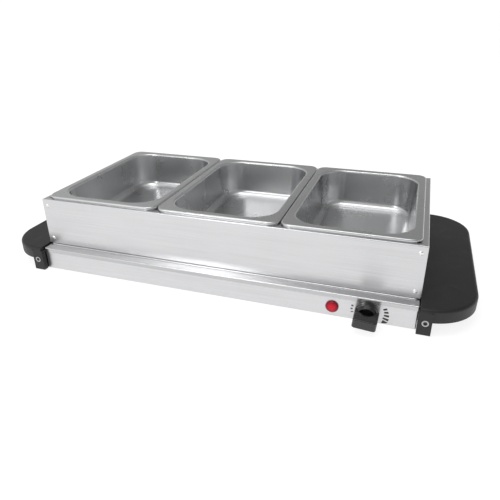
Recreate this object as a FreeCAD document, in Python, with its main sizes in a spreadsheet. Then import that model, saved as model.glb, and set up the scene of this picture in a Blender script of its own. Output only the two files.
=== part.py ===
"""Three-pan electric buffet server: a shallow heated tray with moulded end handles, a lift-off
sheet-steel pan frame that stands on its hot plate, and three pans that hang by their rims in the frame.

Millimetres, +Z up, X along the length. The control panel faces -Y. The origin is on the table, under
the middle.
"""
import FreeCAD, Part

import math
import os
import re
import Sketcher
from FreeCAD import Placement, Rotation, Vector

# ---------------------------------------------------------------- driving dimensions
DRIVING = {
    "sheet": 0.8,            # stainless sheet
    "slack": 0.2,            # gap between sheets that slide over each other
    # heated tray
    "base_len": 565, "base_deep": 315, "base_under": 1.5, "base_top": 38, "lip": 8,
    "step_rise": 1.3, "step_out": 1.8, "step_in": 3, "plateau_len": 549, "plateau_deep": 264,
    "plateau_rise": 2, "shell_flange": 14, "cover_sheet": 1, "cover_head": 1.2,
    # pan frame
    "frame_len": 565, "frame_deep": 280, "frame_high": 74, "shelf_front": 7, "shelf_side": 10.3,
    "frame_foot": 6, "tab_wide": 16, "mitre_gap": 0.5, "rivet_in": 8, "rivet_up": 10, "crossbar_wide": 20,
    "crossbar_drop": 9,
    # pans
    "pan_wide": 182.6, "pan_long": 274, "pan_pitch": 183.8, "pan_deep": 62, "pan_rim": 12.5, "pan_drop": 5,
    "pan_corner": 15, "bowl_corner": 38, "bowl_taper": 6, "bowl_fillet": 12, "pan_sheet": 0.8,
    "roll_rad": 3.4, "bead_in": 1.6, "bead_up": 1.3,
    # end handles
    "handle_start": 283, "handle_end": 354, "handle_half": 165.5, "handle_corner": 65, "handle_top": 39,
    "handle_skirt": 18.5, "handle_wall": 2.6, "handle_round": 4.5, "leg_wide": 16.4, "leg_deep": 20,
    "pad_high": 1.5, "ear": 1.3, "screw_up": 18.5, "tab_top": 23, "bracket_sheet": 1.5, "bracket_half": 143.5,
    "bracket_up": 18, "handle_rivet": 110,
    # controls
    "control_up": 16.5, "dial_at": 219, "lamp_at": 173.4, "dial_rad": 15.8, "dial_out": 34, "dial_tilt": 5,
    "grip_half": 15.6, "grip_thick": 13.4, "crest_in": 4, "crest_out": 14.2, "shaft_rad": 3, "bush_rad": 5,
    "run_gap": 0.05, "lamp_rad": 8.7, "lamp_hole": 6.5, "gland_at": 200, "gland_hole": 6.2, "cord_rad": 3.6,
    # heating
    "element_rad": 3.2, "run_pitch": 70, "run_left": -235, "run_right": 225, "tail_end": 250,
}

doc = FreeCAD.newDocument("buffet_server")
sizes = doc.addObject("Spreadsheet::Sheet", "Sizes")
for line, (alias, number) in enumerate(DRIVING.items(), 1):
    sizes.set(f"A{line}", alias)
    sizes.set(f"B{line}", str(number))
    sizes.setAlias(f"B{line}", alias)
doc.recompute()

NODES = {}  # node name -> the document object whose shape is written


# ---------------------------------------------------------------- helpers: expressions
def expr(text):
    """An expression with the sheet's name put before each driving dimension."""

    def prefixed(word):
        return "Sizes." + word.group() if word.group() in DRIVING else word.group()

    return re.sub(r"[a-z]+(_[a-z]+)*", prefixed, text)


def number(obj, text):
    return float(obj.evalExpression(expr(text)))


def place(obj, x="0", y="0", z="0"):
    """Bind an object's position to the sheet."""
    for axis, text in zip("xyz", (x, y, z)):
        obj.setExpression(f"Placement.Base.{axis}", expr(text))
    return obj


def node(name, obj):
    """Register a finished sub-part under its node name."""
    obj.Label = name
    NODES[name] = obj
    return obj


# ---------------------------------------------------------------- helpers: sketches and features
def new_body(name):
    return doc.addObject("PartDesign::Body", name + "_body")


def new_sketch(body, plane="XY", offset="0"):
    """A sketch on one of the body's own planes. XY looks down, XZ looks along +Y, YZ looks along -X."""
    sketch = body.newObject("Sketcher::SketchObject", body.Name + "_sketch")
    face = next(f for f in body.Origin.OriginFeatures if f.Role == plane + "_Plane")
    sketch.AttachmentSupport = [(face, "")]
    sketch.MapMode = "FlatFace"
    sketch.setExpression("AttachmentOffset.Base.z", expr(offset))
    return sketch


def pin_point(sketch, geometry, point, x, y):
    """Fix one point of a sketch at two expressions."""
    for kind, text in (("DistanceX", x), ("DistanceY", y)):
        index = sketch.addConstraint(Sketcher.Constraint(kind, -1, 1, geometry, point, number(sketch, text)))
        sketch.setExpression(f"Constraints[{index}]", expr(text))


def polygon(sketch, corners):
    """A closed outline of straight lines, every corner bound to the sheet."""
    at = [Vector(number(sketch, x), number(sketch, y), 0) for x, y in corners]
    first = sketch.GeometryCount
    count = len(at)
    for i in range(count):
        sketch.addGeometry(Part.LineSegment(at[i], at[(i + 1) % count]), False)
    for i in range(count):
        sketch.addConstraint(Sketcher.Constraint("Coincident", first + i, 2, first + (i + 1) % count, 1))
        pin_point(sketch, first + i, 1, *corners[i])
    return sketch


def rectangle(sketch, x0, x1, y0, y1):
    return polygon(sketch, [(x0, y0), (x1, y0), (x1, y1), (x0, y1)])


def circle(sketch, x, y, radius):
    middle = Vector(number(sketch, x), number(sketch, y), 0)
    index = sketch.addGeometry(Part.Circle(middle, Vector(0, 0, 1), number(sketch, radius)), False)
    pin_point(sketch, index, 3, x, y)
    bound = sketch.addConstraint(Sketcher.Constraint("Radius", index, number(sketch, radius)))
    sketch.setExpression(f"Constraints[{bound}]", expr(radius))
    return sketch


def rounded_outline(sketch, x0, x1, y0, y1, radius, round_left=True):
    """A rectangle with tangent round corners; the left pair can stay square."""
    left, right, low, high, r = (number(sketch, t) for t in (x0, x1, y0, y1, radius))
    corners = [(left, low, 180), (right, low, 270), (right, high, 0), (left, high, 90)]
    rounds = [round_left, True, True, round_left]
    signs = [(1, 1), (-1, 1), (-1, -1), (1, -1)]
    ends = []
    for (cx, cy, start), rounded, (sx, sy) in zip(corners, rounds, signs):
        if rounded:
            middle = Vector(cx + sx * r, cy + sy * r, 0)
            ring = Part.Circle(middle, Vector(0, 0, 1), r)
            span = (math.radians(start), math.radians(start + 90))
            arc = sketch.addGeometry(Part.ArcOfCircle(ring, *span), False)
            ends.append((arc, sketch.Geometry[arc].StartPoint, sketch.Geometry[arc].EndPoint))
        else:
            ends.append((None, Vector(cx, cy, 0), Vector(cx, cy, 0)))
    lines = []
    for i in range(4):
        lines.append(sketch.addGeometry(Part.LineSegment(ends[i][2], ends[(i + 1) % 4][1]), False))
    arcs = [e[0] for e in ends if e[0] is not None]
    for i in range(4):
        before, after, arc = lines[i - 1], lines[i], ends[i][0]
        if arc is None:
            sketch.addConstraint(Sketcher.Constraint("Coincident", before, 2, after, 1))
        else:
            sketch.addConstraint(Sketcher.Constraint("Tangent", before, 2, arc, 1))
            sketch.addConstraint(Sketcher.Constraint("Tangent", arc, 2, after, 1))
    for i, kind in enumerate(("Horizontal", "Vertical", "Horizontal", "Vertical")):
        sketch.addConstraint(Sketcher.Constraint(kind, lines[i]))
    for arc in arcs[1:]:
        sketch.addConstraint(Sketcher.Constraint("Equal", arcs[0], arc))
    bound = sketch.addConstraint(Sketcher.Constraint("Radius", arcs[0], r))
    sketch.setExpression(f"Constraints[{bound}]", expr(radius))
    sides = (("DistanceY", y0), ("DistanceX", x1), ("DistanceY", y1), ("DistanceX", x0))
    for line, (kind, text) in zip(lines, sides):
        index = sketch.addConstraint(Sketcher.Constraint(kind, -1, 1, line, 1, number(sketch, text)))
        sketch.setExpression(f"Constraints[{index}]", expr(text))
    if sketch.solve():
        raise RuntimeError(f"{sketch.Name} has constraints that disagree")
    return sketch


def extrude(kind, body, sketch, length, back=False, middle=False):
    """A Pad or Pocket. back turns it round; middle runs it both ways from the sketch."""
    before = body.Shape.Volume if body.Tip else 0.0
    feature = body.newObject(f"PartDesign::{kind}", f"{body.Name}_{kind}")
    feature.Profile = sketch
    feature.setExpression("Length", expr(length))
    feature.Reversed = back
    feature.Midplane = middle
    doc.recompute()
    changed = abs(body.Shape.Volume - before)
    if changed < 1e-3:
        raise RuntimeError(f"{feature.Name} changes nothing")
    return feature


def pad(body, sketch, length, back=False, middle=False):
    return extrude("Pad", body, sketch, length, back, middle)


def pocket(body, sketch, length, back=False, middle=False):
    return extrude("Pocket", body, sketch, length, back, middle)


def revolve(kind, body, sketch, axis="V_Axis"):
    """A full Revolution or Groove about one of the sketch's own axes."""
    feature = body.newObject(f"PartDesign::{kind}", f"{body.Name}_{kind}")
    feature.Profile = sketch
    feature.ReferenceAxis = (sketch, [axis])
    feature.Angle = 360
    doc.recompute()
    return feature


def edges(shape, test):
    """Names of the edges that pass a test of (bounding box, edge)."""
    return [f"Edge{i}" for i, e in enumerate(shape.Edges, 1) if test(e.BoundBox, e)]


def fillet(body, radius, test):
    """Round the tip's edges that pass the test."""
    before = body.Tip
    names = edges(before.Shape, test)
    if not names:
        raise RuntimeError(f"{body.Name}: no edge to round")
    feature = body.newObject("PartDesign::Fillet", body.Name + "_fillet")
    feature.Base = (before, names)
    feature.setExpression("Radius", expr(radius))
    body.Tip = feature
    doc.recompute()
    if feature.Shape.isNull() or not feature.isValid():
        raise RuntimeError(f"{feature.Name} failed on {len(names)} edges")
    return feature


def upright(box, edge):
    return box.XLength < 1e-6 and box.YLength < 1e-6


def level_at(height):
    """A test for edges that lie flat at one height."""
    return lambda box, edge: abs(box.ZMin - height) < 1e-4 and abs(box.ZMax - height) < 1e-4


# ---------------------------------------------------------------- helpers: primitives
def box(x0, x1, y0, y1, z0, z1):
    """A Part box between six expressions."""
    made = doc.addObject("Part::Box", "box")
    for prop, low, high in (("Length", x0, x1), ("Width", y0, y1), ("Height", z0, z1)):
        made.setExpression(prop, expr(f"({high}) - ({low})"))
    return place(made, x0, y0, z0)


TURNS = {"x": Rotation(Vector(0, 1, 0), 90), "y": Rotation(Vector(1, 0, 0), -90), "z": Rotation()}


def cylinder(radius, length, x, y, z, axis="z"):
    """A Part cylinder that starts at a point and runs along +axis."""
    made = doc.addObject("Part::Cylinder", "cylinder")
    made.setExpression("Radius", expr(radius))
    made.setExpression("Height", expr(length))
    made.Placement = Placement(Vector(), TURNS[axis])
    return place(made, x, y, z)


def hexagon(radius, length, x, y, z, axis="y"):
    """A six-sided bar, by its corner radius, that starts at a point and runs along +axis."""
    made = doc.addObject("Part::Prism", "hexagon")
    made.Polygon = 6
    made.setExpression("Circumradius", expr(radius))
    made.setExpression("Height", expr(length))
    made.Placement = Placement(Vector(), TURNS[axis])
    return place(made, x, y, z)


def cone(radius_a, radius_b, length, x, y, z, axis="z"):
    made = doc.addObject("Part::Cone", "cone")
    made.setExpression("Radius1", expr(radius_a))
    made.setExpression("Radius2", expr(radius_b))
    made.setExpression("Height", expr(length))
    made.Placement = Placement(Vector(), TURNS[axis])
    return place(made, x, y, z)


def fuse(*shapes):
    made = doc.addObject("Part::MultiFuse", "fuse")
    made.Shapes = list(shapes)
    made.Refine = True
    return made


def cut(base, *tools):
    made = doc.addObject("Part::Cut", "cut")
    made.Base = base
    made.Tool = fuse(*tools) if len(tools) > 1 else tools[0]
    made.Refine = True
    return made


def group(*shapes):
    """Identical pieces kept as separate solids in one node."""
    made = doc.addObject("Part::Compound", "group")
    made.Links = list(shapes)
    return made


# ---------------------------------------------------------------- heated tray: sheet metal
def top_plate():
    """The hot plate: a pressed sheet with a turned-down lip, a raised field for the pan frame to stand on,
    and a low plateau inside the frame that locates it."""
    body = new_body("top_plate")
    x, y = "base_len / 2", "base_deep / 2"
    low, ledge = "base_top - lip", "base_top - step_rise"
    pad(body, rectangle(new_sketch(body, "XY", low), f"-{x}", x, f"-{y}", y), "lip - step_rise")
    fillet(body, "1.8", upright)
    fillet(body, "1.6", level_at(number(body, ledge)))
    inner_x, inner_y = f"({x} - sheet)", f"({y} - sheet)"
    hollow = rounded_outline(new_sketch(body, "XY", low), f"-{inner_x}", inner_x, f"-{inner_y}", inner_y, "1")
    pocket(body, hollow, "lip - step_rise - sheet", back=True)
    raised = (
        ("frame_len / 2 - step_in", "frame_deep / 2 + step_out", ledge, "step_rise", "4", "1.2"),
        ("plateau_len / 2", "plateau_deep / 2", "base_top", "plateau_rise", "8", "1.3"),
    )
    for half_x, half_y, level, rise, corner, edge in raised:
        outer = new_sketch(body, "XY", level)
        pad(body, rounded_outline(outer, f"-({half_x})", half_x, f"-({half_y})", half_y, corner), rise)
        fillet(body, edge, level_at(number(body, f"{level} + {rise}")))
        under = new_sketch(body, "XY", f"{level} - sheet")
        in_x, in_y = f"({half_x} - sheet)", f"({half_y} - sheet)"
        rounded_outline(under, f"-{in_x}", in_x, f"-{in_y}", in_y, f"{corner} - sheet")
        pocket(body, under, rise, back=True)
    node("hot_plate", body)


def base_shell():
    """The wrap of the tray: four walls folded from one sheet, with an inward flange round the bottom."""
    body = new_body("base_shell")
    x, y = "(base_len / 2 - sheet - slack)", "(base_deep / 2 - sheet - slack)"
    high = "(base_top - step_rise - sheet - slack / 2 - base_under)"
    pad(body, rectangle(new_sketch(body, "XY", "base_under"), f"-{x}", x, f"-{y}", y), high)
    fillet(body, "1.4", upright)
    fillet(body, "1.2", level_at(DRIVING["base_under"]))
    ix, iy = f"({x} - sheet)", f"({y} - sheet)"
    well = rectangle(new_sketch(body, "XY", f"base_under + {high}"), f"-{ix}", ix, f"-{iy}", iy)
    pocket(body, well, f"{high} - sheet")
    fx, fy = f"({x} - shell_flange)", f"({y} - shell_flange)"
    mouth = rectangle(new_sketch(body, "XY", "base_under + sheet"), f"-{fx}", fx, f"-{fy}", fy)
    pocket(body, mouth, "sheet * 2")
    front = new_sketch(body, "XZ")
    circle(front, "dial_at", "control_up", "bush_rad + slack")
    circle(front, "lamp_at", "control_up", "lamp_hole")
    pocket(body, front, "base_deep", back=True)
    pocket(body, circle(new_sketch(body, "XZ"), "gland_at", "control_up", "gland_hole"), "base_deep")
    ends = new_sketch(body, "YZ")
    circle(ends, "-handle_rivet", "bracket_up", "1.7")
    circle(ends, "handle_rivet", "bracket_up", "1.7")
    pocket(body, ends, "base_len * 1.2", middle=True)
    node("base_shell", body)


def bottom_cover():
    """The service cover that lies on the shell's flange, with two rows of cooling slots."""
    body = new_body("bottom_cover")
    x, y = "(base_len / 2 - 3 * sheet - slack)", "(base_deep / 2 - 3 * sheet - slack)"
    pad(body, rectangle(new_sketch(body, "XY", "base_under + sheet"), f"-{x}", x, f"-{y}", y), "cover_sheet")
    fillet(body, "3", upright)
    slots = new_sketch(body, "XY", "base_under + sheet")
    for side in ("-", ""):
        low, high = ("100", "128") if not side else ("128", "100")
        rectangle(slots, "-192", "-188", side + low, side + high)
    first = pocket(body, slots, "cover_sheet * 2", back=True)
    rows = body.newObject("PartDesign::LinearPattern", "slot_rows")
    rows.Originals = [first]
    rows.Direction = (slots, ["H_Axis"])
    rows.Length = 380
    rows.Occurrences = 20
    body.Tip = rows
    doc.recompute()
    node("bottom_cover", body)


def cover_screws():
    """Pan-head screws through the shell's flange into the service cover, driven from below."""
    made = []
    for x in ("-270", "-90", "90", "270"):
        for y in ("-149", "149"):
            under = "base_under - cover_head"
            head = cylinder("3.4", "cover_head", x, y, under)
            slot = box(f"{x} - 0.5", f"{x} + 0.5", f"{y} - 2.4", f"{y} + 2.4",
                       under, f"{under} + cover_head / 2")
            made.append(cut(head, slot))
    node("cover_screws", group(*made))


# ---------------------------------------------------------------- heated tray: handles and feet
def handle(name, side):
    """A moulded end handle: a D-shaped hollow plate with a leg under each inner corner. side is + or -."""
    body = new_body(name)
    start, end, half = "handle_start", "handle_end", "handle_half"

    def outline(offset, inset, radius):
        """The D in the right-hand place; the left handle's body is turned half round."""
        return rounded_outline(
            new_sketch(body, "XY", offset), f"{start} + {inset}", f"{end} - {inset}", f"-({half} - {inset})",
            f"{half} - {inset}", radius, round_left=False)

    pad(body, outline("handle_top - handle_skirt", "0", "handle_corner"), "handle_skirt")
    on_top, inner_edge = level_at(DRIVING["handle_top"]), DRIVING["handle_start"] + 1
    fillet(body, "handle_round", lambda b, e: on_top(b, e) and b.XMax > inner_edge)
    hollow = outline("handle_top - handle_skirt", "handle_wall", "handle_corner - handle_wall")
    pocket(body, hollow, "handle_skirt - handle_wall", back=True)
    legs = new_sketch(body, "XY", "pad_high")
    ears = new_sketch(body, "XY", "pad_high")
    notches = new_sketch(body, "XY", "handle_top - handle_skirt")
    for way in ("-", ""):
        rectangle(legs, start, f"{start} + leg_wide", f"{way}({half} - leg_deep)", f"{way}{half}")
        rectangle(ears, f"{start} - ear", f"{start} + ear", f"{way}(base_deep / 2 + slack)", f"{way}{half}")
        rectangle(notches, f"{start} - 1", f"{start} + handle_wall + 1", f"{way}(bracket_half + 1)",
                  f"{way}(bracket_half - bracket_sheet - 1)")
    leg_high = "handle_top - handle_round - 0.5 - pad_high"
    pad(body, legs, leg_high)
    fillet(body, "0.6", lambda b, e: upright(b, e) and b.ZMin < DRIVING["pad_high"] + 1e-3 and b.ZLength > 20)
    pad(body, ears, leg_high)
    pocket(body, notches, "tab_top + 0.5 - (handle_top - handle_skirt)", back=True)
    ribs = new_sketch(body, "XY", "handle_top - handle_wall")
    for middle in ("-90", "-30", "30", "90"):
        rectangle(ribs, f"{start} + 1", f"{end} - 1", f"{middle} - 0.9", f"{middle} + 0.9")
    pad(body, ribs, "8", back=True)
    hole_x = f"{start} + leg_wide / 2"
    pocket(body, circle(new_sketch(body, "XZ"), hole_x, "screw_up", "2.25"), f"{half} * 3", middle=True)
    for back in (True, False):
        seat = new_sketch(body, "XZ", f"{'' if back else '-'}({half} - 2)")
        circle(seat, hole_x, "screw_up", "4.9")
        pocket(body, seat, "5", back=back)
    if side == "-":
        body.Placement = Placement(Vector(), Rotation(Vector(0, 0, 1), 180))
    node(name, body)


def handle_fixings(name, side):
    """The steel strip riveted to the tray's end, and the screws that hold the handle's legs to its tabs."""
    inner = "(base_len / 2 - sheet - slack)"
    middle = "(handle_start + leg_wide / 2)"

    def across(low, high):
        """Low and high x of a piece, mirrored for the left end."""
        return (low, high) if side == "+" else (f"-({high})", f"-({low})")

    plate = box(*across(inner, f"{inner} + bracket_sheet"), "-bracket_half", "bracket_half", "8", "27")
    tabs, holes, screws, rivets = [], [], [], []
    x = middle if side == "+" else f"-{middle}"
    for way in ("-", ""):
        faces = (f"{way}bracket_half", f"{way}(bracket_half - bracket_sheet)")
        tab = sorted(faces, key=lambda t: number(plate, t))
        tabs.append(box(*across(inner, f"{middle} + 5"), *tab, "9", "tab_top"))
        holes.append(cylinder("2.1", "10", x, f"{way}bracket_half - 5", "screw_up", "y"))
        far = "-(handle_half - 0.2)" if way else "handle_half - 2"
        head = cylinder("4.4", "1.8", x, far, "screw_up", "y")
        tip = "-(handle_half - 2)" if way else "bracket_half - 6"
        shank = cylinder("1.95", "handle_half - 2 - bracket_half + 6", x, tip, "screw_up", "y")
        out = "-(handle_half - 0.2)" if way else "handle_half - 1.6"
        screws.append(cut(fuse(head, shank), hexagon("2.8", "1.4", x, out, "screw_up")))
        start = f"{inner} - sheet - 1.2"
        rivet_y = f"{way}handle_rivet"
        reach = across(start, f"{inner} + bracket_sheet + 1.2")
        rivets.append(cylinder("1.6", f"({reach[1]}) - ({reach[0]})", reach[0], rivet_y, "bracket_up", "x"))
    hole_x = across(f"{inner} - 3", f"{inner} + 5")[0]
    wall_holes = [cylinder("1.7", "8", hole_x, f"{way}handle_rivet", "bracket_up", "x") for way in ("-", "")]
    node(f"{name}_bracket", cut(fuse(plate, *tabs), *holes, *wall_holes))
    node(f"{name}_screws", group(*screws))
    node(f"{name}_rivets", group(*rivets))


def foot_pads():
    """A rubber pad under each handle leg, and one under the middle of the service cover."""
    x, y = "(handle_start + leg_wide / 2)", "(handle_half - leg_deep / 2)"
    pads = [cylinder("6.5", "pad_high", sx + x, sy + y, "0") for sx in ("-", "") for sy in ("-", "")]
    node("foot_pads", group(*pads, cylinder("9", "base_under + sheet", "0", "0", "0")))


# ---------------------------------------------------------------- pan frame
def channel(body, plane, face, sign, shelf, length):
    """A folded channel: a web at face, with a shelf and a foot that both turn towards the middle."""
    foot, top = "base_top", "(base_top + frame_high)"
    out, skin = f"{sign}{face}", f"{sign}({face} - sheet)"
    shelf_end, foot_end = f"{sign}({face} - {shelf})", f"{sign}({face} - frame_foot)"
    profile = [
        (out, foot), (out, top), (shelf_end, top), (shelf_end, f"{top} - sheet"), (skin, f"{top} - sheet"),
        (skin, f"{foot} + sheet"), (foot_end, f"{foot} + sheet"), (foot_end, foot),
    ]
    pad(body, polygon(new_sketch(body, plane), profile), length, middle=True)


def frame_long_panel(name, sign):
    """The front or back panel: its shelf and foot are mitred at both ends, with rivet holes in its web."""
    body = new_body(name)
    channel(body, "YZ", "frame_deep / 2", sign, "shelf_front", "frame_len")
    face = number(body, "frame_deep / 2")
    fillet(body, "1.5", lambda b, e: b.XLength > 100 and abs(abs(b.YMin) - face) < 1e-3)
    mitre = new_sketch(body, "XY", "base_top - 1")
    depth = "(shelf_front + 5)"
    near, far = f"{sign}(frame_deep / 2 - sheet)", f"{sign}(frame_deep / 2 - sheet - {depth})"
    for end in ("-", ""):
        polygon(mitre, [
            (f"{end}(frame_len / 2 + 1)", near),
            (f"{end}(frame_len / 2 - sheet - mitre_gap)", near),
            (f"{end}(frame_len / 2 - sheet - mitre_gap - {depth})", far),
            (f"{end}(frame_len / 2 + 1)", far),
        ])
    pocket(body, mitre, "frame_high + 2", back=True)
    holes = new_sketch(body, "XZ")
    for end in ("-", ""):
        for up in ("base_top + rivet_up", "base_top + frame_high - rivet_up"):
            circle(holes, f"{end}(frame_len / 2 - rivet_in)", up, "1.65")
    pocket(body, holes, "frame_deep", back=(sign == "-"))
    node(name, body)


def frame_end_panel(name, sign):
    """An end panel between the long panels, with upright tabs folded in behind them to take the rivets."""
    body = new_body(name)
    channel(body, "XZ", "frame_len / 2", sign, "shelf_side", "frame_deep - 2 * sheet - 2 * slack")
    face = number(body, "frame_len / 2")
    fillet(body, "1.5", lambda b, e: b.YLength > 100 and abs(abs(b.XMin) - face) < 1e-3)
    mitre = new_sketch(body, "XY", "base_top - 1")
    depth = "(shelf_side + 5)"
    near, far = f"{sign}(frame_len / 2 - sheet)", f"{sign}(frame_len / 2 - sheet - {depth})"
    for end in ("-", ""):
        polygon(mitre, [
            (near, f"{end}(frame_deep / 2 - sheet)"),
            (far, f"{end}(frame_deep / 2 - sheet - {depth})"),
            (far, f"{end}(frame_deep / 2 + 1)"),
            (near, f"{end}(frame_deep / 2 + 1)"),
        ])
    pocket(body, mitre, "frame_high + 2", back=True)
    tabs = new_sketch(body, "XY", "base_top + 2")
    for end in ("-", ""):
        tab_face = "frame_deep / 2 - sheet - slack / 2"
        rectangle(tabs, f"{sign}(frame_len / 2 - sheet / 2)", f"{sign}(frame_len / 2 - tab_wide)",
                  f"{end}({tab_face})", f"{end}({tab_face} - sheet)")
    pad(body, tabs, "frame_high - 4")
    holes = new_sketch(body, "XZ")
    for up in ("base_top + rivet_up", "base_top + frame_high - rivet_up"):
        circle(holes, f"{sign}(frame_len / 2 - rivet_in)", up, "1.65")
    pocket(body, holes, "frame_deep * 2", middle=True)
    node(name, body)


def frame_rivets():
    """Eight dome-head rivets that join the long panels to the end panels' tabs."""
    made = []
    for way in ("-", ""):
        for end in ("-", ""):
            for up in ("base_top + rivet_up", "base_top + frame_high - rivet_up"):
                x = f"{end}(frame_len / 2 - rivet_in)"
                face = f"{way}(frame_deep / 2)"
                dome = doc.addObject("Part::Sphere", "dome")
                dome.Radius = 4.1
                dome.Angle1 = 45
                dome.Placement = Placement(Vector(), Rotation(Vector(1, 0, 0), 90 if way else -90))
                place(dome, x, f"{face} {'+' if way else '-'} 4.1 * sin(45)", up)
                low = f"{face} - 0.2" if way else f"{face} - 3"
                shank = cylinder("1.6", "3.2", x, low, up, "y")
                tail_y = f"{face} + 1.9" if way else f"{face} - 2.9"
                tail = cylinder("2.6", "1", x, tail_y, up, "y")
                made.append(fuse(dome, shank, tail))
    node("frame_rivets", group(*made))


def crossbar(name, x):
    """An inverted channel between two pans, with a tab under each long panel's shelf."""
    top = "(base_top + frame_high)"
    reach = "(frame_deep / 2 - shelf_front - slack)"
    body = new_body(name)
    half, skin, skirt = "(crossbar_wide / 2)", "(crossbar_wide / 2 - sheet)", f"{top} - crossbar_drop"
    profile = [
        (f"-{half}", skirt), (f"-{half}", top), (half, top), (half, skirt),
        (skin, skirt), (skin, f"{top} - sheet"), (f"-{skin}", f"{top} - sheet"), (f"-{skin}", skirt),
    ]
    pad(body, polygon(new_sketch(body, "XZ"), profile), f"{reach} * 2", middle=True)
    fillet(body, "1.2", lambda b, e: b.YLength > 100 and b.ZMin > number(body, top) - 1e-3)
    tongues = new_sketch(body, "XY", f"{top} - 2 * sheet")
    for way in ("-", ""):
        rectangle(tongues, "-8", "8", f"{way}({reach} - 8)",
                  f"{way}(frame_deep / 2 - sheet - 2 * slack)")
    pad(body, tongues, "sheet")
    place(body, x)
    node(name, body)


# ---------------------------------------------------------------- pans
def pan_outline(body, offset, inset, radius):
    """A level outline at this height, this far inside the pan's outer edge."""
    half_x, half_y = f"(pan_wide / 2 - {inset})", f"(pan_long / 2 - {inset})"
    level = new_sketch(body, "XY", offset)
    return rounded_outline(level, f"-{half_x}", half_x, f"-{half_y}", half_y, radius)


def bowl(body, roof, floor, wall, round_by):
    """The tapered bowl, as a solid this far outside its inner surface, with its floor's edge rounded."""
    feature = body.newObject("PartDesign::AdditiveLoft", body.Name + "_bowl")
    mouth = pan_outline(body, roof, f"(pan_rim - {wall})", f"bowl_corner + {wall}")
    base = pan_outline(body, floor, f"(pan_rim + bowl_taper - {wall})", f"bowl_corner - bowl_taper + {wall}")
    feature.Profile = mouth
    feature.Sections = [base]
    feature.Ruled = True
    body.Tip = feature
    doc.recompute()
    fillet(body, round_by, level_at(number(body, floor)))


def pan(name, x):
    """A lift-out pan: a tapered bowl under a flat rim. Its beaded edge stands on the frame."""
    body = new_body(name)
    rest = "(base_top + frame_high)"
    top, bead = f"({rest} + pan_drop)", f"({rest} + bead_up)"
    pad(body, pan_outline(body, bead, "0", "pan_corner"), "pan_drop - bead_up")
    high = number(body, top)
    on_top, under = level_at(high), level_at(high - DRIVING["pan_sheet"])
    fillet(body, "1", level_at(number(body, bead)))
    pad(body, pan_outline(body, rest, "bead_in", "pan_corner - bead_in"), "bead_up * 1.5")
    thick = "(bead_in + pan_sheet)"
    hollow = pan_outline(body, rest, thick, f"pan_corner - {thick}")
    pocket(body, hollow, "pan_drop - pan_sheet", back=True)
    fillet(body, "1.8", under)
    fillet(body, "2.4", on_top)
    bowl(body, f"{top} - pan_sheet / 2", f"{top} - pan_deep", "pan_sheet", "bowl_fillet")
    side, end = number(body, "pan_wide / 2 - pan_rim + 2"), number(body, "pan_long / 2 - pan_rim + 2")

    def within(b):
        """Inside the flat of the rim."""
        return max(abs(b.XMin), abs(b.XMax)) < side and max(abs(b.YMin), abs(b.YMax)) < end

    fillet(body, "roll_rad - pan_sheet", lambda b, e: under(b, e) and within(b))
    inside = new_body(name + "_inside")
    bowl(inside, top, f"{top} - pan_deep + pan_sheet", "0", "bowl_fillet - pan_sheet")
    opened = cut(body, inside)
    doc.recompute()
    rolled = doc.addObject("Part::Fillet", "rolled_rim")
    rolled.Base = opened
    mouth = edges(opened.Shape, lambda b, e: on_top(b, e) and within(b))
    rolled.Edges = [(int(edge[4:]), DRIVING["roll_rad"], DRIVING["roll_rad"]) for edge in mouth]
    doc.recompute()
    place(rolled, x)
    node(name, rolled)


# ---------------------------------------------------------------- controls
def dial():
    """The thermostat knob: a flange, a domed skirt with a ring-shaped recess, and a grip bar across it."""
    body = new_body("thermostat_knob")
    skirt = polygon(new_sketch(body, "XY"), [
        ("0", "-1.6"), ("dial_rad", "-1.6"), ("dial_rad", "-4"), ("dial_rad - 1", "-4.6"),
        ("dial_rad - 1.2", "-8.5"), ("dial_rad - crest_in", "-crest_out"),
        ("dial_rad - crest_in - 1.4", "-9"), ("0", "-9"),
    ])
    revolve("Revolution", body, skirt)
    dome, crest = (number(body, t) for t in ("dial_rad - 1.2", "dial_rad - crest_in"))
    fillet(body, "4", lambda b, e: abs(b.XMax - dome) < 0.01 and b.YLength < 0.01)
    fillet(body, "0.6", lambda b, e: abs(b.XMax - crest) < 0.01 and b.YLength < 0.01)
    bar = new_sketch(body, "XZ", "7")
    rectangle(bar, "-grip_half", "grip_half", "-grip_thick / 2", "grip_thick / 2")
    grip = pad(body, bar, "dial_out - 7")
    grip.TaperAngle = -0.8
    doc.recompute()
    front = -DRIVING["dial_out"]
    fillet(body, "4", lambda b, e: b.YMax < front + 1e-3 and b.ZLength > 8)
    fillet(body, "1.3", lambda b, e: b.YMax < front + 4.2 or (b.YMin < front + 6 and b.YLength > 8))
    back = new_sketch(body, "XY")
    polygon(back, [("0", "-1"), ("11.6", "-1"), ("11.6", "-6.4"), ("0", "-6.4")])
    revolve("Groove", body, back)
    pocket(body, circle(new_sketch(body, "XZ"), "0", "0", "shaft_rad + run_gap"), "20", back=True)
    body.Placement = Placement(Vector(), Rotation(Vector(0, 1, 0), DRIVING["dial_tilt"]))
    place(body, "dial_at", "-(base_deep / 2 - sheet - slack)", "control_up")
    node("thermostat_knob", body)


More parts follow.
